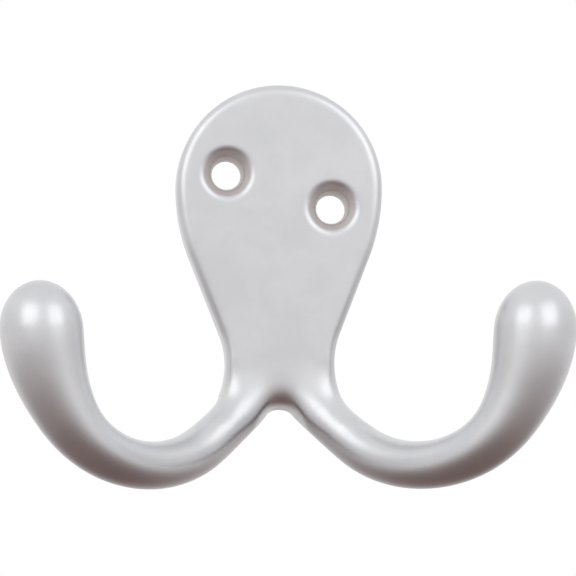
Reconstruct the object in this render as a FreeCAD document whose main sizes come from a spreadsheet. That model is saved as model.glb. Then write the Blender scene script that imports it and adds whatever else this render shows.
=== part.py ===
import FreeCAD, Part
import math
import os

import Sketcher
from FreeCAD import Placement, Rotation, Vector

# Double robe hook: a pear-shaped wall plate and two arms with bulb tips, cast as one piece.
# Millimetres. The origin lies on the back face, at the centre of the plate's round head.
# X runs to the right, Z up, and the front faces -Y, so the wall is the plane Y = 0.

DIMENSIONS = [
    # The wall plate seen from the front: a round head, shoulders, straight tapers and a waist
    ("head_radius", 13.6),
    ("shoulder_radius", 25.4),
    ("taper_angle", 21.4),
    ("taper_length", 10.8),
    ("neck_radius", 10.8),
    ("foot_turn", 33.0),
    ("plate_thickness", 4.4),
    ("rim_radius", 1.25),
    # The two screw holes, on a slanting line whose middle lies just below the centre of the head
    ("hole_inset", 6.32),
    ("hole_tilt", 18.0),
    ("hole_drop", 0.45),
    ("sink_diameter", 6.7),
    ("sink_depth", 1.05),
    ("throat_diameter", 4.5),
    ("bore_diameter", 3.9),
    ("bore_length", 1.8),
    ("lip_radius", 0.25),
    # The centre line of an arm seen from the front: half an arch, a leg, a bowl and a rise
    ("fork_drop", 3.2),
    ("arch_radius", 5.4),
    ("leg_slope", 45.0),
    ("leg_length", 7.9),
    ("bowl_radius", 12.0),
    ("rise_start", 31.0),
    ("rise_radius", 25.5),
    ("rise_end", 4.4),
    # How far the bulb stands off the wall, and how thick the arm is along its length
    ("tip_reach", 19.7),
    ("root_radius", 3.05),
    ("bulb_radius", 5.35),
    ("bulb_length", 6.4),
    ("swell_power", 3.2),
]

# Sizes that follow from those above. The waist is the middle of the arc at the neck.
DERIVED = [
    ("waist_side", "=head_radius - shoulder_radius + (shoulder_radius + neck_radius) * cos(taper_angle)"
                   " - taper_length * sin(taper_angle)"),
    ("waist_drop", "=(shoulder_radius + neck_radius) * sin(taper_angle) + taper_length * cos(taper_angle)"),
    ("foot_drop", "=waist_drop + neck_radius * sin(foot_turn)"),
    ("arch_drop", "=waist_drop + fork_drop + arch_radius"),
    ("arch_side", "=arch_radius * sin(leg_slope)"),
    ("hole_side", "=(head_radius - hole_inset) * cos(hole_tilt)"),
    ("hole_rise", "=(head_radius - hole_inset) * sin(hole_tilt)"),
    ("root_reach", "=plate_thickness - root_radius"),
]

RINGS = 12          # rings of the arms' skin from the middle of the arch to each bulb
SPACING = 1.6       # between the points that the centre line of the arms runs through
OVERRUN = 1.0       # how far a cutting profile runs past the faces
CLOSE = 0.01        # lengths and places nearer than this are the same

doc = FreeCAD.newDocument("double_robe_hook")
sheet = doc.addObject("Spreadsheet::Sheet", "Dimensions")


def fill_sheet():
    """One row for each size: its name, and its value or formula with an alias."""
    for row, (name, value) in enumerate(DIMENSIONS + DERIVED, start=1):
        sheet.set("A%d" % row, name)
        sheet.set("B%d" % row, str(value))
        sheet.setAlias("B%d" % row, name)
    doc.recompute()


def size(name):
    return float(sheet.get(name))


def origin_feature(body, role):
    return next(f for f in body.Origin.OriginFeatures if f.Role == role)


def new_sketch(body, name, role):
    sketch = body.newObject("Sketcher::SketchObject", name)
    sketch.AttachmentSupport = [(origin_feature(body, role), "")]
    sketch.MapMode = "FlatFace"
    return sketch


def drive(sketch, name, formula, *constraint):
    """Adds a dimension to the sketch and ties it to the sheet."""
    index = sketch.addConstraint(Sketcher.Constraint(*constraint))
    sketch.renameConstraint(index, name)
    sketch.setExpression("Constraints." + name, formula)


def arc(cx, cz, radius, start, end):
    """Part of a circle in a sketch, anticlockwise from the start angle to the end angle."""
    circle = Part.Circle(Vector(cx, cz, 0), Vector(0, 0, 1), radius)
    return Part.ArcOfCircle(circle, start, end)


def line(a, b):
    return Part.LineSegment(Vector(a[0], a[1], 0), Vector(b[0], b[1], 0))


def polar(cx, cz, radius, angle):
    return (cx + radius * math.cos(angle), cz + radius * math.sin(angle))


def draw_plate(body):
    """The pear outline: head, shoulders, straight tapers and waist, on a foot inside the arms.

    Behind each arm the waist ends square to the arm's leg, and the sole follows the leg's
    centre line up to the arch.
    """
    sketch = new_sketch(body, "PlateOutline", "XZ_Plane")
    head, shoulder, neck = size("head_radius"), size("shoulder_radius"), size("neck_radius")
    side, drop = size("waist_side"), -size("waist_drop")
    slant, dip = math.radians(size("taper_angle")), math.radians(size("foot_turn"))
    arch, arch_z = size("arch_radius"), -size("arch_drop")
    turn = math.pi / 2 - math.radians(size("leg_slope"))
    right = {
        "shoulder": polar(head - shoulder, 0, shoulder, -slant),
        "neck": polar(side, drop, neck, math.pi - slant),
        "foot": polar(side, drop, neck, math.pi + dip),
        "arch": polar(0, arch_z, arch, turn),
    }
    run, fall = (a - b for a, b in zip(right["foot"], right["arch"]))
    down = run * math.sin(turn) - fall * math.cos(turn)
    right["sole"] = polar(*right["arch"], down, turn - math.pi / 2)
    left = {name: (-x, z) for name, (x, z) in right.items()}
    for piece in (
        arc(0, 0, head, 0, math.pi),
        arc(head - shoulder, 0, shoulder, -slant, 0),
        arc(shoulder - head, 0, shoulder, math.pi, math.pi + slant),
        line(right["shoulder"], right["neck"]),
        line(left["shoulder"], left["neck"]),
        arc(side, drop, neck, math.pi - slant, math.pi + dip),
        arc(-side, drop, neck, -dip, slant),
        line(right["foot"], right["sole"]),
        line(left["foot"], left["sole"]),
        line(right["sole"], right["arch"]),
        line(left["sole"], left["arch"]),
        arc(0, arch_z, arch, turn, math.pi - turn),
    ):
        sketch.addGeometry(piece, False)
    tie_plate(sketch)
    return sketch


def tie_plate(sketch):
    """Tangent joints, mirror symmetry and the driving dimensions of the pear outline."""
    (head, right, left, taper, taper_left, neck, neck_left,
     foot, foot_left, sole, sole_left, arch) = range(12)
    start, end, centre, x_axis, z_axis, origin = 1, 2, 3, -1, -2, (-1, 1)
    for joint in (
        ("Coincident", head, centre) + origin,
        ("PointOnObject", head, start, x_axis),
        ("PointOnObject", head, end, x_axis),
        ("Tangent", right, end, head, start),
        ("Tangent", head, end, left, start),
        ("Tangent", taper, start, right, start),
        ("Tangent", taper_left, start, left, end),
        ("Tangent", taper, end, neck, start),
        ("Tangent", taper_left, end, neck_left, end),
        ("Coincident", foot, start, neck, end),
        ("Coincident", foot_left, start, neck_left, start),
        ("Coincident", foot, end, sole, start),
        ("Coincident", foot_left, end, sole_left, start),
        ("Tangent", sole, end, arch, start),
        ("Tangent", sole_left, end, arch, end),
        ("Perpendicular", foot, sole),
        ("Perpendicular", foot_left, sole_left),
        ("Equal", right, left),
        ("Equal", neck, neck_left),
        ("Symmetric", neck, centre, neck_left, centre, z_axis),
        ("Horizontal", neck, end, neck_left, start),
        ("Horizontal", arch, start, arch, end),
        ("PointOnObject", arch, centre, z_axis),
    ):
        sketch.addConstraint(Sketcher.Constraint(*joint))
    for name, *constraint in (
        ("head_radius", "Radius", head),
        ("shoulder_radius", "Radius", right),
        ("neck_radius", "Radius", neck),
        ("arch_radius", "Radius", arch),
        ("waist_side", "DistanceX", *origin, neck, centre),
        ("waist_drop", "DistanceY", neck, centre, *origin),
        ("foot_drop", "DistanceY", neck, end, *origin),
        ("arch_drop", "DistanceY", arch, centre, *origin),
        ("arch_side", "DistanceX", *origin, arch, start),
    ):
        drive(sketch, name, "Dimensions." + name, *constraint, size(name))


def front_edges(shape):
    """The edges of the plate's front face, apart from those of the foot inside the arms."""
    front = shape.BoundBox.YMin
    names = []
    for number, edge in enumerate(shape.Edges, start=1):
        box = edge.BoundBox
        if box.YMax < front + CLOSE and box.ZMax > -size("waist_drop"):
            names.append("Edge%d" % number)
    return names


def sink_edges(shape):
    """The circles where the two sinks meet the plate's front face."""
    names = []
    for number, edge in enumerate(shape.Edges, start=1):
        box = edge.BoundBox
        flat = box.YLength < CLOSE and abs(box.YMin + size("plate_thickness")) < CLOSE
        if flat and abs(box.XLength - size("sink_diameter")) < CLOSE:
            names.append("Edge%d" % number)
    return names


def draw_hole_line(body):
    """The slanting line that joins the two screw holes. The second hole is turned about its middle."""
    sketch = new_sketch(body, "HoleLine", "XZ_Plane")
    sketch.setExpression("AttachmentOffset.Base.y", "-Dimensions.hole_drop")
    side, rise = size("hole_side"), size("hole_rise")
    start, end, origin = 1, 2, (-1, 1)
    sketch.addGeometry(line((-side, rise), (side, -rise)), False)
    sketch.addConstraint(Sketcher.Constraint("Symmetric", 0, start, 0, end, *origin))
    drive(sketch, "side", "Dimensions.hole_side", "DistanceX", 0, start, *origin, side)
    drive(sketch, "rise", "Dimensions.hole_rise", "DistanceY", *origin, 0, start, rise)
    return sketch


def draw_hole(body):
    """Half the section of a screw hole: sink, tapering throat and a straight bore at the back."""
    sketch = new_sketch(body, "HoleSection", "XY_Plane")
    sketch.setExpression("AttachmentOffset.Base.x", "-Dimensions.hole_side")
    sketch.setExpression("AttachmentOffset.Base.z", "Dimensions.hole_rise - Dimensions.hole_drop")
    sink, throat, bore = (size(n) / 2 for n in ("sink_diameter", "throat_diameter", "bore_diameter"))
    front = -size("plate_thickness")
    points = [
        (0, front - OVERRUN),
        (sink, front - OVERRUN),
        (sink, front),
        (throat, front + size("sink_depth")),
        (bore, -size("bore_length")),
        (bore, OVERRUN),
        (0, OVERRUN),
    ]
    mouth, rim, sink_side, throat_side, bore_side, back, axis = sides = range(len(points))
    start, end, origin, y_axis = 1, 2, (-1, 1), -2
    following = list(sides[1:]) + [mouth]
    for side, after in zip(sides, following):
        sketch.addGeometry(line(points[side], points[after]), False)
    for side, after in zip(sides, following):
        sketch.addConstraint(Sketcher.Constraint("Coincident", side, end, after, start))
    for joint in (
        ("Horizontal", mouth),
        ("Horizontal", back),
        ("Vertical", rim),
        ("Vertical", bore_side),
        ("PointOnObject", mouth, start, y_axis),
        ("PointOnObject", axis, start, y_axis),
        ("DistanceY", *origin, back, start, OVERRUN),
    ):
        sketch.addConstraint(Sketcher.Constraint(*joint))
    thick, depth, length = "Dimensions.plate_thickness", "Dimensions.sink_depth", "Dimensions.bore_length"
    half = "Dimensions.%s_diameter / 2"
    for name, formula, *constraint in (
        ("over", "%s + %g" % (thick, OVERRUN), "DistanceY", mouth, start, *origin, OVERRUN - front),
        ("face", thick, "DistanceY", sink_side, start, *origin, -front),
        ("sink", half % "sink", "DistanceX", *origin, sink_side, start, sink),
        ("throat", half % "throat", "DistanceX", *origin, throat_side, start, throat),
        ("depth", depth, "DistanceY", sink_side, start, throat_side, start, size("sink_depth")),
        ("bore", half % "bore", "DistanceX", *origin, bore_side, start, bore),
        ("length", length, "DistanceY", bore_side, start, *origin, size("bore_length")),
    ):
        drive(sketch, name, formula, *constraint)
    return sketch


def make_plate():
    """The wall plate: padded outline, rounded front rim, and two countersunk screw holes."""
    body = doc.addObject("PartDesign::Body", "WallPlate")
    outline = draw_plate(body)
    doc.recompute()

    pad = body.newObject("PartDesign::Pad", "Plate")
    pad.Profile = outline
    pad.setExpression("Length", "Dimensions.plate_thickness")
    doc.recompute()

    rim = body.newObject("PartDesign::Fillet", "Rim")
    rim.Base = (pad, front_edges(pad.Shape))
    rim.setExpression("Radius", "Dimensions.rim_radius")
    doc.recompute()

    section = draw_hole(body)
    groove = body.newObject("PartDesign::Groove", "ScrewHole")
    groove.Profile = section
    groove.ReferenceAxis = (section, ["V_Axis"])
    groove.Angle = 360
    doc.recompute()

    holes = body.newObject("PartDesign::PolarPattern", "ScrewHoles")
    holes.Originals = [groove]
    holes.Axis = (draw_hole_line(body), ["N_Axis"])
    holes.Angle = 360
    holes.Occurrences = 2
    body.Tip = holes
    doc.recompute()

    lips = body.newObject("PartDesign::Fillet", "HoleLips")
    lips.Base = (holes, sink_edges(holes.Shape))
    lips.setExpression("Radius", "Dimensions.lip_radius")
    doc.recompute()
    return body


def along(cx, cz, radius, start, end):
    """Points along a round stretch of the front view, without its first one."""
    steps = max(2, round(abs(end - start) * radius / SPACING))
    return [polar(cx, cz, radius, start + (end - start) * i / steps) for i in range(1, steps + 1)]


def arm_front():
    """The right arm's centre line seen from the front. Each stretch goes on where the last points."""
    arch, bowl, rise = size("arch_radius"), size("bowl_radius"), size("rise_radius")
    arch_z = -size("arch_drop")
    turn = math.pi / 2 - math.radians(size("leg_slope"))
    lift, tip = -math.radians(size("rise_start")), -math.radians(size("rise_end"))
    front = [(0, arch_z + arch)] + along(0, arch_z, arch, math.pi / 2, turn)
    leg_foot = polar(front[-1][0], front[-1][1], size("leg_length"), turn - math.pi / 2)
    front += [tuple((a + b) / 2 for a, b in zip(front[-1], leg_foot)), leg_foot]
    bowl_x, bowl_z = polar(leg_foot[0], leg_foot[1], bowl, turn)
    front += along(bowl_x, bowl_z, bowl, turn - math.pi, lift)
    rise_x, rise_z = polar(bowl_x, bowl_z, bowl - rise, lift)
    return front + along(rise_x, rise_z, rise, lift, tip)


def arm_line():
    """The centre line of both arms, from the left bulb over the arch to the right bulb.

    It leaves the wall along half a wave, level with the wall at the arch and again at the bulb.
    At the arch the arm is flush with the front of the plate.
    """
    front = arm_front()
    root, reach = size("root_reach"), size("tip_reach") - size("root_reach")
    width = front[-1][0]
    right = [Vector(x, -root - reach * math.sin(math.pi / 2 * x / width) ** 2, z) for x, z in front]
    left = [Vector(-p.x, p.y, p.z) for p in reversed(right[1:])]
    curve = Part.BSplineCurve()
    curve.interpolate(left + right)
    return curve


def direction(curve, parameter):
    return curve.tangent(parameter)[0]


def arm_radius(share):
    """The arm's radius at a share of the way from the arch to the bulb."""
    swell = math.sin(math.pi / 2 * share ** size("swell_power")) ** 2
    return size("root_radius") + (size("bulb_radius") - size("root_radius")) * swell


def ring_poles(centre, heading, radius):
    """The nine poles of a circle square to the heading. It starts and ends behind the arm."""
    back = Vector(0, 1, 0) - heading * heading.y
    back.normalize()
    aside = heading.cross(back)
    square = [(1, 0), (1, 1), (0, 1), (-1, 1), (-1, 0), (-1, -1), (0, -1), (1, -1), (1, 0)]
    return [centre + back * (radius * i) + aside * (radius * j) for i, j in square]


def skin_arms(curve):
    """A round skin through rings along the centre line, closed by a flat disc at either end."""
    half = curve.length() / 2
    rings, places = [], []
    for step in range(-RINGS, RINGS + 1):
        share = abs(step) / RINGS
        at = curve.parameterAtDistance(half + half * step / RINGS)
        rings.append(ring_poles(curve.value(at), direction(curve, at), arm_radius(share)))
        places.append(float(step))
    rows = []
    for pole in zip(*rings):
        row = Part.BSplineCurve()
        row.interpolate(Points=list(pole), Parameters=places)
        rows.append(row)
    poles = [row.getPoles() for row in rows]
    weights = [[math.sqrt(0.5) if i % 2 else 1.0] * len(row) for i, row in enumerate(poles)]
    surface = Part.BSplineSurface()
    surface.buildFromPolesMultsKnots(
        poles, (3, 2, 2, 2, 3), rows[0].getMultiplicities(), (0, 1, 2, 3, 4), rows[0].getKnots(),
        False, False, 2, rows[0].Degree, weights)
    discs = []
    for at in (curve.FirstParameter, curve.LastParameter):
        rim = Part.Circle(curve.value(at), direction(curve, at), arm_radius(1.0)).toShape()
        discs.append(Part.Face(Part.Wire([rim])))
    shell = Part.makeShell([surface.toShape()] + discs)
    shell.sewShape()
    solid = Part.makeSolid(shell)
    return solid.reversed() if solid.Volume < 0 else solid


def bulb_end(centre, heading):
    """The rounded end of a bulb: half an egg turned about the arm's own direction."""
    radius, length = size("bulb_radius"), size("bulb_length")
    side, top = Vector(radius, 0, 0), Vector(0, 0, length)
    quarter = Part.BezierCurve()
    quarter.setPoles([side, side + top, top])
    quarter.setWeight(2, math.sqrt(0.5))
    sides = [quarter.toShape(), Part.makeLine(top, Vector()), Part.makeLine(Vector(), side)]
    section = Part.Face(Part.Wire(sides))
    egg = section.revolve(Vector(0, 0, 0), Vector(0, 0, 1), 360)
    egg.Placement = Placement(centre, Rotation(Vector(0, 0, 1), heading))
    return egg


def make_arms():
    """Both arms in one sweep, with their bulbs, trimmed flush with the wall plane."""
    curve = arm_line()
    first, last = curve.FirstParameter, curve.LastParameter
    ends = [
        bulb_end(curve.value(first), direction(curve, first) * -1),
        bulb_end(curve.value(last), direction(curve, last)),
    ]
    sweep = doc.addObject("Part::Feature", "ArmSweep")
    sweep.Shape = skin_arms(curve).fuse(ends)
    sweep.Placement = Placement()

    wall = doc.addObject("Part::Box", "WallBlock")
    wall.setExpression("Length", "4 * Dimensions.head_radius")
    wall.setExpression("Width", "Dimensions.head_radius")
    wall.setExpression("Height", "2 * Dimensions.arch_drop")
    wall.setExpression("Placement.Base.x", "-2 * Dimensions.head_radius")
    wall.setExpression("Placement.Base.z", "-2 * Dimensions.arch_drop")

    arms = doc.addObject("Part::Cut", "Arms")
    arms.Base = sweep
    arms.Tool = wall
    doc.recompute()
    return arms


def join(plate, arms):
    """One casting: the plate's foot runs down to the centre line of the arch."""
    hook = doc.addObject("Part::Fuse", "Hook")
    hook.Base = plate
    hook.Tool = arms
    hook.Refine = False
    hook.Label = "double_robe_hook"
    hook.Placement = Placement()
    doc.recompute()
    return hook


def check(objects):
    for item in objects:
        if "Invalid" in item.State or "Error" in item.State:
            raise RuntimeError("%s did not build: %s" % (item.Label, item.State))
        shape = getattr(item, "Shape", None)
        if shape is not None and (shape.isNull() or not shape.isValid()):
            raise RuntimeError("%s has no valid shape" % item.Label)


fill_sheet()
hook = join(make_plate(), make_arms())
check([o for o in doc.Objects if o.TypeId.startswith(("Part", "Sketcher"))])
if len(hook.Shape.Solids) != 1:
    raise RuntimeError("the hook is not one solid")
os.makedirs("parts", exist_ok=True)
hook.Shape.exportStep("parts/%s.step" % hook.Label)
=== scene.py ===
import math

import bpy
import numpy as np
from mathutils import Matrix, Vector


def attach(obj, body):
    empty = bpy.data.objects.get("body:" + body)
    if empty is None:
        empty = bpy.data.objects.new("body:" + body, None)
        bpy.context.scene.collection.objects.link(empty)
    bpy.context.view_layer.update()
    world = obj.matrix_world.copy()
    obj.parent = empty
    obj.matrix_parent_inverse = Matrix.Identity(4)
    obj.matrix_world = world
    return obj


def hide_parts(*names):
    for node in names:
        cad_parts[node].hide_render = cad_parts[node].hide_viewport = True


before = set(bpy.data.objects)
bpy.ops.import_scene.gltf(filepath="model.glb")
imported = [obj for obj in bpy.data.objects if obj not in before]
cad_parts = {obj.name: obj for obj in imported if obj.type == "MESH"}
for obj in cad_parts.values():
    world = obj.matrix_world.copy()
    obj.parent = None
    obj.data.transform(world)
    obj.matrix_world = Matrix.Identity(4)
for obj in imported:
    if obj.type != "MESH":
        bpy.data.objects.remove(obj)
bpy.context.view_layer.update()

MM = 0.001

# Sizes of the casting in millimetres, in the frame of the part:
# X right, Z up, the wall is the plane Y = 0 and the front faces -Y.
HEAD_RADIUS, SHOULDER_RADIUS, NECK_RADIUS = 13.6, 25.4, 10.8
TAPER_ANGLE, TAPER_LENGTH, FOOT_TURN = math.radians(21.4), 10.8, math.radians(33.0)
PLATE_THICKNESS, RIM_RADIUS = 4.4, 1.25
HOLE_INSET, HOLE_TILT, HOLE_DROP = 6.32, math.radians(18.0), 0.45
SINK_RADIUS, SINK_DEPTH, THROAT_RADIUS, BORE_RADIUS, BORE_LENGTH = 3.35, 1.05, 2.25, 1.95, 1.8
LIP_RADIUS = 0.3
FORK_DROP, ARCH_RADIUS = 3.2, 5.4
LEG_SLOPE, LEG_LENGTH = math.radians(45.0), 7.9
BOWL_RADIUS, RISE_RADIUS = 12.0, 25.5
RISE_START, RISE_END = math.radians(31.0), math.radians(4.4)
TIP_REACH, ROOT_RADIUS = 19.7, 3.05
BULB_RADIUS, BULB_LENGTH, SWELL_POWER = 5.35, 6.4, 3.2

# The underside of the fork leans back to the wall by the draft of the casting: it is trimmed
# from the round arms near the middle, and the trim runs out towards the legs. Its edge is sharp
# at the wall and gets rounder in front, from ROLL_START off the wall.
FORK_FOOT, FORK_DRAFT, FORK_ROLL = 2.76, 0.21, 0.9
TRIM_FROM, TRIM_UNTIL, TRIM_RUN_OUT = 0.8, 6.5, 4.0
ROLL_START, ROLL_RUN, SHARP_EDGE = 1.0, 2.2, 0.08

# The plate's lower corners are rounded at the wall, and sharp from CORNER_DEPTH off it on
FOOT_CORNER, CORNER_DEPTH, CORNER_RUN, CORNER_EDGE = 2.0, 3.2, 2.0, 0.1

# How far the arms blend into the neck, below BLEND_TOP and away from the wall
BLEND_REACH, BLEND_ROUNDS, BLEND_SHARE = 3.8, 100, 0.6
BLEND_TOP, BLEND_RUN, BLEND_WALL_RUN = -22.0, 3, 1.4

# The grid that the mesh is taken from: low and high end and the finer stretch of each axis, both
# steps, the distance that it starts from, and how far round the forms it is worked out
GRID_X = (-38.4, 38.4, -11.4, 11.4)
GRID_Y = (-26.4, 0.36, -5.4, 0.12)
GRID_Z = (-42.0, 14.4, -6.4, 6.4)
COARSE, FINE = 0.42, 0.24
FAR, MARGIN = 5.0, 2.0

# The arm's centre line: its points, those added at its ends while it is smoothed, how many of
# them are kept before its start, and how far the smoothing reaches
LINE_POINTS, LINE_PAD, LINE_LEAD, LINE_SOFTNESS = 260, 30, 8, 1.2
# The nearest point is looked for at every SEARCH_STEP-th first, for BATCH places at a time
SEARCH_STEP, BATCH = 6, 20000

# Places that follow from those sizes
ROOT_REACH = PLATE_THICKNESS - ROOT_RADIUS
WAIST_X = (HEAD_RADIUS - SHOULDER_RADIUS + (SHOULDER_RADIUS + NECK_RADIUS) * math.cos(TAPER_ANGLE)
           - TAPER_LENGTH * math.sin(TAPER_ANGLE))
WAIST_Z = (-(SHOULDER_RADIUS + NECK_RADIUS) * math.sin(TAPER_ANGLE)
           - TAPER_LENGTH * math.cos(TAPER_ANGLE))
FOOT_Z = WAIST_Z - NECK_RADIUS * math.sin(FOOT_TURN)
ARCH_Z = WAIST_Z - FORK_DROP - ARCH_RADIUS
HOLE_SIDE = (HEAD_RADIUS - HOLE_INSET) * math.cos(HOLE_TILT)
HOLE_RISE = (HEAD_RADIUS - HOLE_INSET) * math.sin(HOLE_TILT)
HOLES = ((-HOLE_SIDE, HOLE_RISE - HOLE_DROP), (HOLE_SIDE, -HOLE_RISE - HOLE_DROP))


def smoothstep(value):
    """Goes smoothly from 0 to 1 as the value does."""
    value = np.clip(value, 0, 1)
    return value * value * (3 - 2 * value)


def arc_points(centre, radius, start, end, step):
    """Points along an arc, a step apart."""
    count = max(2, int(abs(end - start) * radius / step))
    angles = np.linspace(start, end, count + 1)
    return np.c_[centre[0] + radius * np.cos(angles), centre[1] + radius * np.sin(angles)]


def arm_front_line(step=0.1):
    """The centre line of the right arm seen from the front: arch, leg, bowl and rise."""
    turn = math.pi / 2 - LEG_SLOPE
    arch = arc_points((0.0, ARCH_Z), ARCH_RADIUS, math.pi / 2, turn, step)
    leg_foot = arch[-1] + LEG_LENGTH * np.array([math.sin(turn), -math.cos(turn)])
    leg = arch[-1] + np.linspace(0, 1, int(LEG_LENGTH / step))[1:-1, None] * (leg_foot - arch[-1])
    bowl_centre = leg_foot + BOWL_RADIUS * np.array([math.cos(turn), math.sin(turn)])
    bowl = arc_points(bowl_centre, BOWL_RADIUS, turn - math.pi, -RISE_START, step)
    rise_centre = bowl_centre + (BOWL_RADIUS - RISE_RADIUS) * np.array(
        [math.cos(RISE_START), -math.sin(RISE_START)])
    rise = arc_points(rise_centre, RISE_RADIUS, -RISE_START, -RISE_END, step)
    return np.vstack([arch, leg, bowl, rise[1:]])


def evenly(points, count):
    """The same line in evenly spaced points, and its length."""
    length = np.r_[0, np.cumsum(np.linalg.norm(np.diff(points, axis=0), axis=1))]
    at = np.linspace(0, length[-1], count)
    places = np.c_[tuple(np.interp(at, length, points[:, k]) for k in range(points.shape[1]))]
    return places, length[-1]


def arm_line():
    """The centre line in space, its first two derivatives by length, and the arm's radius."""
    front = arm_front_line()
    swing = np.sin(math.pi / 2 * front[:, 0] / front[-1, 0]) ** 2
    depth = -ROOT_REACH - (TIP_REACH - ROOT_REACH) * swing
    line, total = evenly(np.c_[front[:, 0], depth, front[:, 1]], LINE_POINTS)
    step = total / (LINE_POINTS - 1)
    mirrored = line[1:LINE_PAD + 1][::-1] * [-1, 1, 1]
    tail = line[-1] + (line[-1] - line[-2]) * np.arange(1, LINE_PAD + 1)[:, None]
    padded = np.vstack([mirrored, line, tail])
    reach = np.arange(-LINE_PAD, LINE_PAD + 1) * step
    kernel = np.exp(-0.5 * (reach / LINE_SOFTNESS) ** 2)
    kernel /= kernel.sum()
    smooth = np.c_[tuple(np.convolve(padded[:, k], kernel, mode="same") for k in range(3))]
    smooth[:LINE_PAD // 2] = padded[:LINE_PAD // 2]
    smooth[-LINE_PAD // 2:] = padded[-LINE_PAD // 2:]
    first = np.gradient(smooth, step, axis=0)
    second = np.gradient(first, step, axis=0)
    keep = slice(LINE_PAD - LINE_LEAD, LINE_PAD + LINE_POINTS)
    share = np.clip((np.arange(-LINE_LEAD, LINE_POINTS) * step) / total, -1, 1)
    swell = np.sin(math.pi / 2 * np.abs(share) ** SWELL_POWER) ** 2
    radius = ROOT_RADIUS + (BULB_RADIUS - ROOT_RADIUS) * swell
    slope = np.gradient(radius, step)
    return smooth[keep], first[keep], second[keep], radius, slope, step


LINE, LINE_D, LINE_DD, RADIUS, RADIUS_D, STEP = arm_line()


def arm_distance(p):
    """Distance to the skin of the arms: round about the centre line, with an egg-shaped end."""
    q = np.c_[np.abs(p[:, 0]), p[:, 1], p[:, 2]]
    out = np.empty(len(q))
    tip, aim = LINE[-1], LINE_D[-1] / np.linalg.norm(LINE_D[-1])
    coarse = np.arange(0, len(LINE), SEARCH_STEP)
    around = np.arange(-SEARCH_STEP, SEARCH_STEP + 1)
    for at in range(0, len(q), BATCH):
        part = q[at:at + BATCH]
        gap = ((part[:, None, :] - LINE[None, coarse, :]) ** 2).sum(axis=2)
        close = np.clip(coarse[gap.argmin(axis=1)][:, None] + around, 0, len(LINE) - 1)
        gap = ((part[:, None, :] - LINE[close]) ** 2).sum(axis=2)
        near = close[np.arange(len(part)), gap.argmin(axis=1)]
        delta = LINE[near] - part
        along, bend = LINE_D[near], LINE_DD[near]
        move = -(delta * along).sum(1) / ((along * along).sum(1) + (delta * bend).sum(1))
        most = 1.5 * STEP
        move = np.clip(move, -most, most)
        foot = LINE[near] + along * move[:, None] + 0.5 * bend * (move ** 2)[:, None]
        radius = RADIUS[near] + RADIUS_D[near] * move
        out[at:at + BATCH] = np.linalg.norm(part - foot, axis=1) - radius
    beyond = (q - tip) @ aim
    end = beyond > 0
    if end.any():
        side = np.linalg.norm(q[end] - tip - beyond[end, None] * aim, axis=1)
        b, a = BULB_RADIUS, BULB_LENGTH
        scaled = np.sqrt((side / b) ** 2 + (beyond[end] / a) ** 2)
        grad = np.sqrt((side / b ** 2) ** 2 + (beyond[end] / a ** 2) ** 2)
        grad /= np.maximum(scaled, 1e-9)
        out[end] = (scaled - 1) / np.maximum(grad, 1e-9)
    return out


def fork_trim(x, y, z):
    """Distance to the drafted underside of the fork, negative above it."""
    x = np.abs(x)
    arch = ARCH_RADIUS - np.hypot(x, z - ARCH_Z)
    leg = ARCH_RADIUS - (x * math.sin(LEG_SLOPE) + (z - ARCH_Z) * math.cos(LEG_SLOPE))
    below = np.where(x > z - ARCH_Z, leg, arch)
    foot = FORK_FOOT + TRIM_RUN_OUT * smoothstep((x - TRIM_FROM) / (TRIM_UNTIL - TRIM_FROM))
    return below - foot - FORK_DRAFT * np.clip(y, -PLATE_THICKNESS, 0)


def trimmed(arms, x, y, z):
    """The arms with their trimmed fork: the edge is rolled in front and sharp at the wall."""
    roll = SHARP_EDGE + FORK_ROLL * smoothstep((-y - ROLL_START) / ROLL_RUN)
    return rounded(arms, fork_trim(x, y, z), roll)


def arms_distance(p):
    """Distance to the arms, trimmed at the fork."""
    return trimmed(arm_distance(p), p[:, 0], p[:, 1], p[:, 2])


def pear_distance(x, z):
    """Signed distance to the outline of the wall plate, negative inside."""
    x = np.abs(x)
    normal = np.array([math.cos(TAPER_ANGLE), -math.sin(TAPER_ANGLE)])
    shoulder_x = HEAD_RADIUS - SHOULDER_RADIUS
    run_x, run_z = x - shoulder_x - SHOULDER_RADIUS * normal[0], z - SHOULDER_RADIUS * normal[1]
    taper = run_x * normal[0] + run_z * normal[1]
    place = run_x * normal[1] - run_z * normal[0]
    head = np.hypot(x, z) - HEAD_RADIUS
    shoulder = np.hypot(x - shoulder_x, z) - SHOULDER_RADIUS
    neck = NECK_RADIUS - np.hypot(x - WAIST_X, z - WAIST_Z)
    return np.where(z >= 0, head, np.where(
        place < 0, shoulder, np.where(place < TAPER_LENGTH, taper, neck)))


def rounded(a, b, radius):
    """The overlap of two solids with the edge between them rounded."""
    return np.minimum(-radius, np.maximum(a, b)) + np.hypot(
        np.maximum(a + radius, 0), np.maximum(b + radius, 0))


def hole_distance(x, y, z, cx, cz):
    """Distance to a screw hole's wall, negative in the metal: sink, tapering throat and bore."""
    rho = np.hypot(x - cx, z - cz)
    front, throat_y, bore_y = -PLATE_THICKNESS, -PLATE_THICKNESS + SINK_DEPTH, -BORE_LENGTH
    walls = []
    for (r0, y0), (r1, y1) in (
        ((SINK_RADIUS, front), (THROAT_RADIUS, throat_y)),
        ((THROAT_RADIUS, throat_y), (BORE_RADIUS, bore_y)),
    ):
        run = math.hypot(r1 - r0, y1 - y0)
        walls.append(((y1 - y0) * (rho - r0) - (r1 - r0) * (y - y0)) / run)
    sink, throat = walls
    bore = rho - BORE_RADIUS
    return -np.where(y < throat_y, sink, np.where(y < bore_y, throat, bore))


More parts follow.
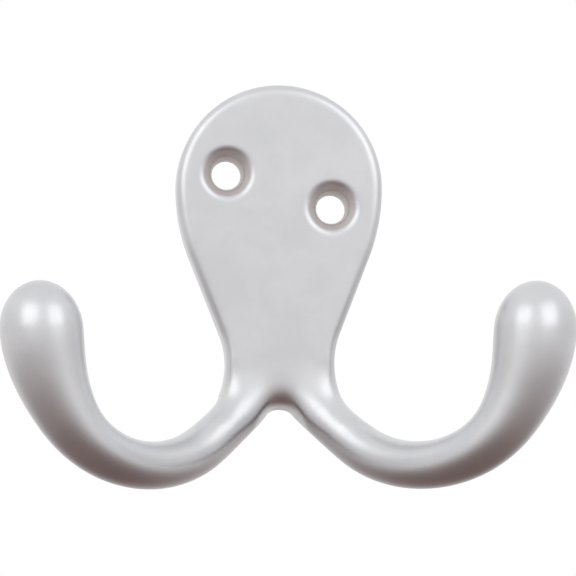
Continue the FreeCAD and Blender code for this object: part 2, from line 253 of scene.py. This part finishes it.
def plate_distance(p):
    """Distance to the wall plate with its screw holes."""
    x, y, z = p[:, 0], p[:, 1], p[:, 2]
    outline = pear_distance(x, z)
    body = rounded(outline, -PLATE_THICKNESS - y, RIM_RADIUS)
    body = np.maximum(body, ARCH_RADIUS - np.hypot(x, z - ARCH_Z))
    # The lower corners are sharp only in front, where the arms cover them
    corner = CORNER_EDGE + FOOT_CORNER * np.clip((y + CORNER_DEPTH) / CORNER_RUN, 0, 1)
    body = rounded(body, FOOT_Z - z, corner)
    for cx, cz in HOLES:
        body = rounded(body, hole_distance(x, y, z, cx, cz), LIP_RADIUS)
    return body


def hook_distance(p):
    """Distance to the hook as if it went on behind the wall plane."""
    return np.minimum(plate_distance(p), arms_distance(p))


def spaced(low, high, fine_low, fine_high):
    """The grid's places along one axis, closer together in the fine stretch."""
    parts = []
    stretches = ((low, fine_low, COARSE), (fine_low, fine_high, FINE), (fine_high, high, COARSE))
    for a, b, step in stretches:
        if b > a:
            parts.append(np.linspace(a, b, max(2, int(round((b - a) / step)) + 1))[:-1])
    return np.r_[tuple(parts) + (high,)]


def field(xs, ys, zs):
    """The hook's distance on the grid. The arms are worked out only near their centre line."""
    gx, gy, gz = np.meshgrid(xs, ys, zs, indexing="ij")
    arms = np.full(gx.shape, FAR)
    tip, aim = LINE[-1], LINE_D[-1] / np.linalg.norm(LINE_D[-1])
    spheres = [(LINE[i], RADIUS[i]) for i in range(0, len(LINE), 2)]
    # Spheres that fill the egg-shaped end
    a, b = BULB_LENGTH, BULB_RADIUS
    gap = a * a - b * b
    for q in np.linspace(0, gap / a, 8)[1:]:
        spheres.append((tip + aim * q, b * math.sqrt(1 - q * q / gap)))
    for centre, radius in spheres:
        for sign in (1, -1):
            cx = centre[0] * sign
            reach = radius + MARGIN
            sx = slice(*np.searchsorted(xs, (cx - reach, cx + reach)))
            sy = slice(*np.searchsorted(ys, (centre[1] - reach, centre[1] + reach)))
            sz = slice(*np.searchsorted(zs, (centre[2] - reach, centre[2] + reach)))
            d = np.sqrt((gx[sx, sy, sz] - cx) ** 2 + (gy[sx, sy, sz] - centre[1]) ** 2
                        + (gz[sx, sy, sz] - centre[2]) ** 2) - radius
            arms[sx, sy, sz] = np.minimum(arms[sx, sy, sz], d)
    arms = trimmed(arms, gx, gy, gz)
    plate = np.full(gx.shape, FAR)
    sx = slice(*np.searchsorted(xs, (-HEAD_RADIUS - MARGIN, HEAD_RADIUS + MARGIN)))
    sy = slice(np.searchsorted(ys, -PLATE_THICKNESS - MARGIN), len(ys))
    sz = slice(np.searchsorted(zs, FOOT_Z - MARGIN), len(zs))
    some = np.c_[gx[sx, sy, sz].ravel(), gy[sx, sy, sz].ravel(), gz[sx, sy, sz].ravel()]
    plate[sx, sy, sz] = plate_distance(some).reshape(gx[sx, sy, sz].shape)
    return np.minimum(plate, arms)


def surface_net(whole, xs, ys, zs):
    """A mesh of four-sided faces round the grid's zero surface, closed at the wall plane.

    It also tells which points lie on the wall plane, and which on the edge of that flat back.
    """
    values = np.maximum(whole, ys[None, :, None])
    inside = values < 0
    count = np.zeros(tuple(n - 1 for n in inside.shape), np.int8)
    corners = [(i, j, k) for i in (0, 1) for j in (0, 1) for k in (0, 1)]
    nx, ny, nz = count.shape
    for i, j, k in corners:
        count += inside[i:i + nx, j:j + ny, k:k + nz]
    active = (count > 0) & (count < 8)
    ci, cj, ck = np.nonzero(active)
    index = np.full(count.shape, -1, np.int64)
    index[ci, cj, ck] = np.arange(len(ci))
    total, hits = np.zeros((len(ci), 3)), np.zeros(len(ci))
    for a in corners:
        for axis in range(3):
            if a[axis]:
                continue
            b = tuple(1 if n == axis else v for n, v in enumerate(a))
            va = values[ci + a[0], cj + a[1], ck + a[2]]
            vb = values[ci + b[0], cj + b[1], ck + b[2]]
            cross = (va < 0) != (vb < 0)
            t = np.where(cross, va / np.where(cross, va - vb, 1), 0)
            pa = np.c_[xs[ci + a[0]], ys[cj + a[1]], zs[ck + a[2]]]
            pb = np.c_[xs[ci + b[0]], ys[cj + b[1]], zs[ck + b[2]]]
            total += np.where(cross[:, None], pa + t[:, None] * (pb - pa), 0)
            hits += cross
    vertices = total / hits[:, None]
    layer = np.searchsorted(ys, 0.0) - 1
    at_wall = cj == layer
    signs = sum((whole[ci + i, cj, ck + k] < 0).astype(int) for i in (0, 1) for k in (0, 1))
    at_edge = at_wall & (signs > 0) & (signs < 4)
    quads = []
    for axis in range(3):
        u, v = [n for n in range(3) if n != axis]
        low = [slice(None)] * 3
        low[axis] = slice(0, inside.shape[axis] - 1)
        high = [slice(None)] * 3
        high[axis] = slice(1, inside.shape[axis])
        change = inside[tuple(low)] != inside[tuple(high)]
        at = np.array(np.nonzero(change)).T
        at = at[(at[:, u] > 0) & (at[:, v] > 0)
                & (at[:, u] < inside.shape[u] - 1) & (at[:, v] < inside.shape[v] - 1)]
        ring = []
        for du, dv in ((1, 1), (0, 1), (0, 0), (1, 0)):
            cell = at.copy()
            cell[:, u] -= du
            cell[:, v] -= dv
            ring.append(index[cell[:, 0], cell[:, 1], cell[:, 2]])
        ring = np.array(ring).T
        first = inside[at[:, 0], at[:, 1], at[:, 2]]
        flip = first if axis != 1 else ~first
        ring[~flip] = ring[~flip][:, ::-1]
        quads.append(ring)
    return vertices, np.vstack(quads), at_wall, at_edge


def project(points, at_wall, at_edge, rounds=3):
    """Moves points onto the surface: those at the wall stay in its plane."""
    tiny, longest, least_slope = 0.01, 0.3, 0.5
    free = ~at_wall | at_edge
    points = points.copy()
    points[at_wall, 1] = 0
    for _ in range(rounds):
        some = points[free]
        value = hook_distance(some)
        gradient = np.empty_like(some)
        for axis in range(3):
            ahead, behind = some.copy(), some.copy()
            ahead[:, axis] += tiny
            behind[:, axis] -= tiny
            gradient[:, axis] = (hook_distance(ahead) - hook_distance(behind)) / (2 * tiny)
        gradient[at_edge[free], 1] = 0
        square = np.maximum((gradient ** 2).sum(1), least_slope ** 2)
        shift = -(value / square)[:, None] * gradient
        length = np.linalg.norm(shift, axis=1)
        points[free] = some + shift * np.minimum(1, longest / np.maximum(length, 1e-9))[:, None]
        points[:, 1] = np.minimum(points[:, 1], 0)
    return points


def neighbours(quads, count):
    """The mesh's edges, and how many meet at each point."""
    edges = np.vstack([quads[:, pair] for pair in ([0, 1], [1, 2], [2, 3], [3, 0])])
    edges = np.unique(np.sort(edges, axis=1), axis=0)
    degree = np.bincount(edges.ravel(), minlength=count).astype(float)
    return edges, degree


def averaged(points, edges, degree):
    """The middle of each point's neighbours."""
    total = np.zeros_like(points)
    for k in range(3):
        total[:, k] = (np.bincount(edges[:, 0], points[edges[:, 1], k], len(points))
                       + np.bincount(edges[:, 1], points[edges[:, 0], k], len(points)))
    return total / degree[:, None]


def casting_mesh():
    """The whole casting in millimetres: its points and its four-sided faces."""
    xs, ys, zs = spaced(*GRID_X), spaced(*GRID_Y), spaced(*GRID_Z)
    vertices, quads, at_wall, at_edge = surface_net(field(xs, ys, zs), xs, ys, zs)
    edges, degree = neighbours(quads, len(vertices))
    vertices = project(vertices, at_wall, at_edge)
    ring = edges[at_edge[edges].all(axis=1)]
    ring_degree = np.maximum(np.bincount(ring.ravel(), minlength=len(vertices)), 1).astype(float)
    for _ in range(3):
        goal = averaged(vertices, edges, degree)
        goal[at_edge] = averaged(vertices, ring, ring_degree)[at_edge]
        vertices = project(vertices + 0.5 * (goal - vertices), at_wall, at_edge, 1)
    # The fork of the arms blends into the neck, as a casting does
    near = np.maximum(np.abs(plate_distance(vertices)), np.abs(arms_distance(vertices)))
    weight = (smoothstep(1 - near / BLEND_REACH)
              * np.clip((BLEND_TOP - vertices[:, 2]) / BLEND_RUN, 0, 1)
              * np.clip(-vertices[:, 1] / BLEND_WALL_RUN, 0, 1))
    share = (BLEND_SHARE * weight)[:, None]
    for _ in range(BLEND_ROUNDS):
        vertices = vertices + share * (averaged(vertices, edges, degree) - vertices)
    return vertices, quads


def build_casting():
    """The hook as one smooth mesh object in metres."""
    vertices, quads = casting_mesh()
    mesh = bpy.data.meshes.new("hook_casting")
    mesh.from_pydata([tuple(v) for v in vertices * MM], [], [tuple(map(int, q)) for q in quads])
    mesh.validate()
    mesh.polygons.foreach_set("use_smooth", [True] * len(mesh.polygons))
    mesh.update()
    casting = bpy.data.objects.new("hook_casting", mesh)
    bpy.context.scene.collection.objects.link(casting)
    return casting


class Nodes:
    """Short ways to add and join the nodes of one material or world."""

    def __init__(self, tree):
        self.tree = tree

    def add(self, kind, **values):
        node = self.tree.nodes.new(kind)
        for name, value in values.items():
            setattr(node, name, value)
        return node

    def join(self, source, target):
        self.tree.links.new(source, target)

    def feed(self, socket, value):
        if isinstance(value, bpy.types.NodeSocket):
            self.join(value, socket)
        else:
            socket.default_value = value

    def math(self, operation, a, b=0.0, c=0.0):
        node = self.add("ShaderNodeMath", operation=operation)
        for socket, value in zip(node.inputs, (a, b, c)):
            self.feed(socket, value)
        return node.outputs[0]

    def noise(self, vector, scale, detail=3.0, roughness=0.55, distortion=0.0):
        node = self.add("ShaderNodeTexNoise")
        self.join(vector, node.inputs["Vector"])
        node.inputs["Scale"].default_value = scale
        node.inputs["Detail"].default_value = detail
        node.inputs["Roughness"].default_value = roughness
        node.inputs["Distortion"].default_value = distortion
        return node.outputs["Fac"]

    def spread(self, value, low, high, start, end):
        """Maps a value from one range to another, and keeps it there."""
        node = self.add("ShaderNodeMapRange", clamp=True, interpolation_type="SMOOTHSTEP")
        ends = {"From Min": low, "From Max": high, "To Min": start, "To Max": end}
        for name, number in ends.items():
            node.inputs[name].default_value = number
        self.join(value, node.inputs["Value"])
        return node.outputs["Result"]

    def mix(self, share, first, second):
        """Mixes two colours. A colour mix uses sockets 0, 6 and 7, and output 2."""
        node = self.add("ShaderNodeMix", data_type="RGBA")
        for index, value in ((0, share), (6, first), (7, second)):
            self.feed(node.inputs[index], value)
        return node.outputs[2]

    def distance(self, across, along):
        """The length of two sides taken together."""
        squares = [self.math("MULTIPLY", side, side) for side in (across, along)]
        return self.math("POWER", self.math("ADD", *squares), 0.5)


METAL_COOL, METAL_WARM = (0.615, 0.62, 0.645, 1), (0.655, 0.658, 0.675, 1)
# The second colour on the next line is painted shade for the sunk screw holes: a little darker and
# browner than the metal
METAL_PATCH, RECESS_SHADE_COLOUR = (0.60, 0.59, 0.60, 1), (0.66, 0.60, 0.57, 1)
RECESS_SHARE, RECESS_ROUGHNESS = 0.6, 0.35


def satin_nickel():
    """Plated and satin finished metal: fine grain, clouding, and painted shade in the screw holes,
    browner and a little darker.
    """
    material = bpy.data.materials.new("satin_nickel")
    material.use_nodes = True
    net = Nodes(material.node_tree)
    shader = material.node_tree.nodes["Principled BSDF"]
    shader.inputs["Metallic"].default_value = 1.0
    place = net.add("ShaderNodeTexCoord").outputs["Object"]
    scaled = net.add("ShaderNodeVectorMath", operation="SCALE")
    net.join(place, scaled.inputs[0])
    scaled.inputs["Scale"].default_value = 1 / MM
    spot = scaled.outputs[0]

    clouds = net.noise(spot, scale=0.16, detail=3.0, roughness=0.5, distortion=0.4)
    patches = net.noise(spot, scale=0.9, detail=4.0, roughness=0.6)
    grain = net.noise(spot, scale=5.5, detail=3.0, roughness=0.65)

    colour = net.mix(net.spread(clouds, 0.3, 0.7, 0.0, 1.0), METAL_COOL, METAL_WARM)
    colour = net.mix(net.spread(patches, 0.42, 0.72, 0.0, 0.2), colour, METAL_PATCH)

    apart = net.add("ShaderNodeSeparateXYZ")
    net.join(spot, apart.inputs[0])
    # The screw holes are rougher inside, between the sunk edge and the flat back, and painted
    # browner and a little darker there as shade
    roughened = 0.0
    deep = net.spread(apart.outputs["Y"], -0.5, -0.15, 1.0, 0.0)
    for cx, cz in HOLES:
        across = net.math("SUBTRACT", apart.outputs["X"], cx)
        rise = net.math("SUBTRACT", apart.outputs["Z"], cz)
        span = net.distance(across, rise)
        inside = net.spread(span, SINK_RADIUS - 0.35, SINK_RADIUS + 0.05, 1.0, 0.0)
        sunk = net.spread(apart.outputs["Y"], 0.08 - PLATE_THICKNESS, 0.45 - PLATE_THICKNESS,
                          0.0, RECESS_SHARE)
        recess = net.math("MULTIPLY", net.math("MULTIPLY", inside, sunk), deep)
        colour = net.mix(recess, colour, RECESS_SHADE_COLOUR)
        roughened = net.math("MULTIPLY_ADD", recess, RECESS_ROUGHNESS, roughened)
    net.join(colour, shader.inputs["Base Color"])

    gloss = net.math("ADD", net.spread(patches, 0.3, 0.7, 0.31, 0.35),
                     net.spread(grain, 0.3, 0.7, -0.02, 0.03))
    net.join(net.math("ADD", gloss, roughened), shader.inputs["Roughness"])

    bump = net.add("ShaderNodeBump")
    bump.inputs["Strength"].default_value = 0.3
    bump.inputs["Distance"].default_value = 0.01 * MM
    net.join(grain, bump.inputs["Height"])
    net.join(bump.outputs["Normal"], shader.inputs["Normal"])
    return material


def level_sheet(name, half, level):
    """A level square with a plain material of its own, and that material's nodes."""
    mesh = bpy.data.meshes.new(name)
    corners = [(x * half, y * half, level) for x, y in ((-1, -1), (1, -1), (1, 1), (-1, 1))]
    mesh.from_pydata(corners, [], [(0, 1, 2, 3)])
    sheet = bpy.data.objects.new(name, mesh)
    bpy.context.scene.collection.objects.link(sheet)
    material = bpy.data.materials.new(name)
    material.use_nodes = True
    mesh.materials.append(material)
    return sheet, material.node_tree


def pale_floor(half, level, colour, roughness, variation):
    """The floor, in a slightly clouded matt finish."""
    sheet, tree = level_sheet("floor", half, level)
    net = Nodes(tree)
    shader = tree.nodes["Principled BSDF"]
    shader.inputs["Roughness"].default_value = roughness
    place = net.add("ShaderNodeTexCoord").outputs["Object"]
    other = tuple(c * (1 - variation) for c in colour[:3]) + (1,)
    clouds = net.spread(net.noise(place, 9.0), 0.3, 0.7, 0.0, 1.0)
    net.join(net.mix(clouds, colour, other), shader.inputs["Base Color"])


def dark_card(half, level):
    """A glowing brown card that only reflections see: a painted dark reflection under the metal,
    darkest just under it.
    """
    card, tree = level_sheet("low_card", half, level)
    net = Nodes(tree)
    tree.nodes.remove(tree.nodes["Principled BSDF"])
    glow = net.add("ShaderNodeEmission")
    net.join(glow.outputs[0], tree.nodes["Material Output"].inputs["Surface"])
    apart = net.add("ShaderNodeSeparateXYZ")
    net.join(net.add("ShaderNodeTexCoord").outputs["Object"], apart.inputs[0])
    # It gets light sooner at the sides than in front, and soonest behind
    across = net.math("MULTIPLY", apart.outputs["X"], CARD_SIDE)
    ahead = net.math("MAXIMUM", net.math("MULTIPLY", apart.outputs["Y"], -1.0),
                     net.math("MULTIPLY", apart.outputs["Y"], CARD_BEHIND))
    span = net.distance(across, ahead)
    ramp = net.add("ShaderNodeValToRGB")
    ramp.color_ramp.interpolation = "B_SPLINE"
    stops = ramp.color_ramp.elements
    while len(stops) < len(CARD_SHADES):
        stops.new(1.0)
    for stop, (reach, colour) in zip(stops, CARD_SHADES):
        stop.position = reach
        stop.color = colour + (1,)
    net.join(span, ramp.inputs[0])
    net.join(ramp.outputs[0], glow.inputs["Color"])
    card.visible_camera = card.visible_diffuse = card.visible_shadow = False


def studio_world(light, backdrop):
    """A white surround: the camera and the metal see the backdrop, the rest a softer light."""
    world = bpy.data.worlds.new("studio")
    world.use_nodes = True
    net = Nodes(world.node_tree)
    path = net.add("ShaderNodeLightPath")
    glossy = path.outputs["Is Glossy Ray"]
    seen = net.math("MAXIMUM", net.math("MAXIMUM", path.outputs["Is Camera Ray"], glossy),
                    path.outputs["Is Transmission Ray"])
    strength = net.math("ADD", light, net.math("MULTIPLY", seen, backdrop - light))
    # For reflections the studio is a little brighter above the horizon and darker at its sides
    way = net.add("ShaderNodeSeparateXYZ")
    net.join(net.add("ShaderNodeTexCoord").outputs["Generated"], way.inputs[0])
    rise = net.math("ADD", net.spread(way.outputs["Z"], -0.06, 0.22, -0.08, 0.06),
                    net.spread(way.outputs["Z"], 0.40, 0.85, 0.0, -0.06))
    aside = net.math("ABSOLUTE", way.outputs["X"])
    side = net.math("MULTIPLY", net.spread(aside, 0.45, 0.95, 0.0, -0.14),
                    net.spread(way.outputs["Z"], 0.25, 0.70, 1.0, 0.0))
    shade = net.math("MULTIPLY", glossy, net.math("ADD", rise, side))
    strength = net.math("ADD", strength, shade)
    background = world.node_tree.nodes["Background"]
    background.inputs["Color"].default_value = (1, 1, 1, 1)
    net.join(strength, background.inputs["Strength"])
    bpy.context.scene.world = world


def soft_lamp(name, place, aim, width, height, power):
    """A white soft box that faces the aim."""
    data = bpy.data.lights.new(name, "AREA")
    data.shape = "RECTANGLE"
    data.size, data.size_y = width, height
    data.energy = power
    lamp = bpy.data.objects.new(name, data)
    lamp.location = place
    lamp.rotation_euler = (Vector(aim) - Vector(place)).to_track_quat("-Z", "Y").to_euler()
    bpy.context.scene.collection.objects.link(lamp)


# The camera, in millimetres and in pixels of a frame of 576. AIM is the point of the hook that
# shows at AIM_PX in the frame.
AZIMUTH, ELEVATION, ROLL = math.radians(-4.3), math.radians(-4.9), math.radians(0.3)
DISTANCE, PX_PER_MM, FRAME_PX, SENSOR = 600.0, 7.57, 576.0, 36.0
AIM, AIM_PX, CENTRE_PX = (0, -2.0, -13.0), (278.7, 285.9), 287.5


def set_camera():
    """A long lens a little to the left of the hook and a little below it."""
    right = Vector((math.cos(AZIMUTH), math.sin(AZIMUTH), 0))
    look = Vector((-math.sin(AZIMUTH) * math.cos(ELEVATION),
                   math.cos(AZIMUTH) * math.cos(ELEVATION), -math.sin(ELEVATION)))
    up = right.cross(look)
    turned_right = right * math.cos(ROLL) - up * math.sin(ROLL)
    turned_up = right * math.sin(ROLL) + up * math.cos(ROLL)
    middle = Vector(AIM) + turned_right * ((CENTRE_PX - AIM_PX[0]) / PX_PER_MM)
    middle += turned_up * ((AIM_PX[1] - CENTRE_PX) / PX_PER_MM)
    data = bpy.data.cameras.new("camera")
    data.sensor_width = SENSOR
    data.lens = SENSOR * DISTANCE * PX_PER_MM / FRAME_PX
    data.clip_start, data.clip_end = 0.01, 20
    camera = bpy.data.objects.new("camera", data)
    place = (middle - look * DISTANCE) * MM
    turn = Matrix((turned_right, turned_up, -look)).transposed().to_4x4()
    camera.matrix_world = Matrix.Translation(place) @ turn
    bpy.context.scene.collection.objects.link(camera)
    bpy.context.scene.camera = camera


casting = build_casting()
casting.data.materials.append(satin_nickel())
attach(casting, "root")
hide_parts("double_robe_hook")

set_camera()
# Where the lamps look and stand, in metres
HOOK = (0, -0.008, -0.015)
LAMP_TURN, LAMP_RISE, LAMP_DISTANCE = math.radians(38), math.radians(24), 0.36
# Width, height and power of each soft box, and of its brighter middle
KEY, CORE = (0.26, 0.27, 0.135), (0.09, 0.08, 0.02)
for name, side in (("key_left", -1), ("key_right", 1)):
    flat = LAMP_DISTANCE * math.cos(LAMP_RISE)
    place = (side * flat * math.sin(LAMP_TURN), -flat * math.cos(LAMP_TURN),
             LAMP_DISTANCE * math.sin(LAMP_RISE))
    soft_lamp(name, place, HOOK, *KEY)
    soft_lamp(name + "_core", place, HOOK, *CORE)

FLOOR_LEVEL, FLOOR_COLOUR, FLOOR_HALF, CARD_HALF = -0.12, (0.80, 0.81, 0.83, 1), 4, 6
# How much sooner the card gets light at its sides and behind, and its shades by distance in metres
CARD_SIDE, CARD_BEHIND = 1.3, 2.6
CARD_SHADES = (
    (0.0, (0.195, 0.14, 0.125)),
    (0.05, (0.21, 0.155, 0.14)),
    (0.105, (0.26, 0.195, 0.18)),
    (0.15, (0.30, 0.24, 0.23)),
    (0.225, (0.42, 0.37, 0.36)),
    (0.39, (0.64, 0.61, 0.60)),
    (0.70, (0.82, 0.80, 0.79)),
    (1.0, (0.95, 0.93, 0.92)),
)
pale_floor(FLOOR_HALF, FLOOR_LEVEL, FLOOR_COLOUR, roughness=0.7, variation=0.03)
dark_card(CARD_HALF, FLOOR_LEVEL + 0.001)
studio_world(light=0.8, backdrop=1.0)
bpy.context.scene.view_settings.view_transform = "Standard"
